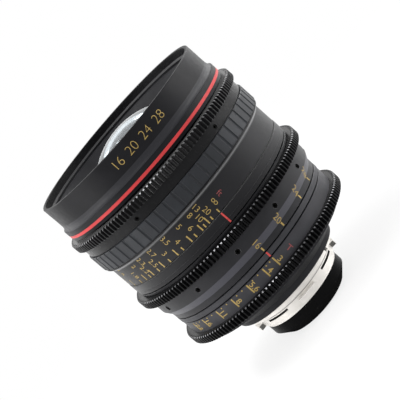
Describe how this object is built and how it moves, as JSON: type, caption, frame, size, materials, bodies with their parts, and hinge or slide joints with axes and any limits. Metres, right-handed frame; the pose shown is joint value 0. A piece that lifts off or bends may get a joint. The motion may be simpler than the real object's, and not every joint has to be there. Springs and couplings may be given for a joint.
{
  "type": "cinema zoom lens",
  "caption": "Wide cinema zoom lens with toothed focus, zoom and iris rings, a bulging front glass and a bayonet mount with tabs.",
  "frame": {"origin": "centre of the mount's seat, the rear face of the bayonet tabs, on the optical axis", "axes": "+Z along the optical axis towards the scene in front of the lens; -Y through the index lines; +X to the right of someone who faces the index lines with the front glass up"},
  "size_m": [0.1248, 0.1248, 0.1465],
  "materials": {
    "barrel_black": "satin black anodised",
    "ring_black": "fine satin black anodised",
    "gear_black": "hard black anodised",
    "inner_black": "matt black anodised",
    "tube_black": "semi gloss black",
    "red_anodised": "matt red",
    "mount_steel": "turned stainless steel",
    "dark_steel": "blackened steel",
    "shim_brass": "bare brass",
    "cam_aluminium": "bare turned aluminium",
    "front_coated_glass": "coated glass",
    "inner_glass": "coated glass"
  },
  "bodies": {
    "barrel": {"front_hood": "barrel_black", "red_ring": "red_anodised", "front_funnel": "inner_black", "front_cell": "inner_black", "front_glass": "front_coated_glass", "second_glass": "inner_glass", "main_barrel": "cam_aluminium", "index_sleeve": "barrel_black", "rear_index_ring": "barrel_black", "guide_tube": "cam_aluminium", "cam_spacer": "cam_aluminium", "iris_housing": "inner_black", "iris_cover": "inner_black", "rear_body": "barrel_black", "relay_cell": "inner_black", "relay_glass": "inner_glass", "relay_small_glass": "inner_glass", "mount_shim": "shim_brass", "bayonet_mount": "mount_steel", "mount_screws": "dark_steel", "rear_tube": "tube_black", "rear_glass": "inner_glass", "rear_glass_ring": "inner_black"},
    "focus_control": {"focus_sleeve": "cam_aluminium", "focus_gear": "gear_black", "focus_grip": "ring_black", "focus_scale": "ring_black", "focus_set_screws": "dark_steel", "focus_key": "dark_steel", "focus_cam": "cam_aluminium"},
    "zoom_control": {"zoom_ring": "ring_black", "zoom_gear": "gear_black", "zoom_lock_ring": "ring_black", "zoom_set_screws": "dark_steel", "zoom_key": "dark_steel", "zoom_cam": "cam_aluminium"},
    "iris_control": {"iris_ring": "ring_black", "iris_gear": "gear_black", "iris_drive_ring": "cam_aluminium", "iris_key": "dark_steel"},
    "focusing_group": {"focus_cell": "inner_black", "focus_glass": "inner_glass", "focus_followers": "shim_brass"},
    "variator_group": {"variator_cell": "inner_black", "variator_glass": "inner_glass", "variator_followers": "shim_brass"},
    "compensator_group": {"compensator_cell": "inner_black", "compensator_glass": "inner_glass", "compensator_followers": "shim_brass"},
    "blade_1": {"iris_blade_1": "dark_steel"},
    "blade_2": {"iris_blade_2": "dark_steel"},
    "blade_3": {"iris_blade_3": "dark_steel"},
    "blade_4": {"iris_blade_4": "dark_steel"},
    "blade_5": {"iris_blade_5": "dark_steel"},
    "blade_6": {"iris_blade_6": "dark_steel"},
    "blade_7": {"iris_blade_7": "dark_steel"},
    "blade_8": {"iris_blade_8": "dark_steel"},
    "blade_9": {"iris_blade_9": "dark_steel"}
  },
  "joints": [
    {"name": "focus_turn", "type": "hinge", "parent": "barrel", "child": "focus_control", "pos_m": [0, 0, 0], "axis": [0, 0, 1], "range_deg": [0, 145]},
    {"name": "zoom_turn", "type": "hinge", "parent": "barrel", "child": "zoom_control", "pos_m": [0, 0, 0], "axis": [0, 0, 1], "range_deg": [-53, 0]},
    {"name": "iris_turn", "type": "hinge", "parent": "barrel", "child": "iris_control", "pos_m": [0, 0, 0], "axis": [0, 0, 1], "range_deg": [0, 72]},
    {"name": "focusing_slide", "type": "slide", "parent": "barrel", "child": "focusing_group", "axis": [0, 0, 1], "range_m": [0, 0.006]},
    {"name": "variator_slide", "type": "slide", "parent": "barrel", "child": "variator_group", "axis": [0, 0, 1], "range_m": [0, 0.009]},
    {"name": "compensator_slide", "type": "slide", "parent": "barrel", "child": "compensator_group", "axis": [0, 0, 1], "range_m": [-0.0045, 0]},
    {"name": "blade_1_swing", "type": "hinge", "parent": "barrel", "child": "blade_1", "pos_m": [0.034, 0, 0.0306], "axis": [0, 0, 1], "range_deg": [0, 33]},
    {"name": "blade_2_swing", "type": "hinge", "parent": "barrel", "child": "blade_2", "pos_m": [0.02605, 0.02185, 0.03095], "axis": [0, 0, 1], "range_deg": [0, 33]},
    {"name": "blade_3_swing", "type": "hinge", "parent": "barrel", "child": "blade_3", "pos_m": [0.0059, 0.03348, 0.0313], "axis": [0, 0, 1], "range_deg": [0, 33]},
    {"name": "blade_4_swing", "type": "hinge", "parent": "barrel", "child": "blade_4", "pos_m": [-0.017, 0.02944, 0.03165], "axis": [0, 0, 1], "range_deg": [0, 33]},
    {"name": "blade_5_swing", "type": "hinge", "parent": "barrel", "child": "blade_5", "pos_m": [-0.03195, 0.01163, 0.032], "axis": [0, 0, 1], "range_deg": [0, 33]},
    {"name": "blade_6_swing", "type": "hinge", "parent": "barrel", "child": "blade_6", "pos_m": [-0.03195, -0.01163, 0.03235], "axis": [0, 0, 1], "range_deg": [0, 33]},
    {"name": "blade_7_swing", "type": "hinge", "parent": "barrel", "child": "blade_7", "pos_m": [-0.017, -0.02944, 0.0327], "axis": [0, 0, 1], "range_deg": [0, 33]},
    {"name": "blade_8_swing", "type": "hinge", "parent": "barrel", "child": "blade_8", "pos_m": [0.0059, -0.03348, 0.03305], "axis": [0, 0, 1], "range_deg": [0, 33]},
    {"name": "blade_9_swing", "type": "hinge", "parent": "barrel", "child": "blade_9", "pos_m": [0.02605, -0.02185, 0.0334], "axis": [0, 0, 1], "range_deg": [0, 33]}
  ],
  "couplings": [
    {"joint": "focusing_slide", "follows": "focus_turn", "m_per_rad": 0.0023708},
    {"joint": "variator_slide", "follows": "zoom_turn", "m_per_rad": -0.0097294},
    {"joint": "compensator_slide", "follows": "zoom_turn", "m_per_rad": 0.0048647},
    {"joint": "blade_1_swing", "follows": "iris_turn", "ratio": 0.45833},
    {"joint": "blade_2_swing", "follows": "iris_turn", "ratio": 0.45833},
    {"joint": "blade_3_swing", "follows": "iris_turn", "ratio": 0.45833},
    {"joint": "blade_4_swing", "follows": "iris_turn", "ratio": 0.45833},
    {"joint": "blade_5_swing", "follows": "iris_turn", "ratio": 0.45833},
    {"joint": "blade_6_swing", "follows": "iris_turn", "ratio": 0.45833},
    {"joint": "blade_7_swing", "follows": "iris_turn", "ratio": 0.45833},
    {"joint": "blade_8_swing", "follows": "iris_turn", "ratio": 0.45833},
    {"joint": "blade_9_swing", "follows": "iris_turn", "ratio": 0.45833}
  ]
}
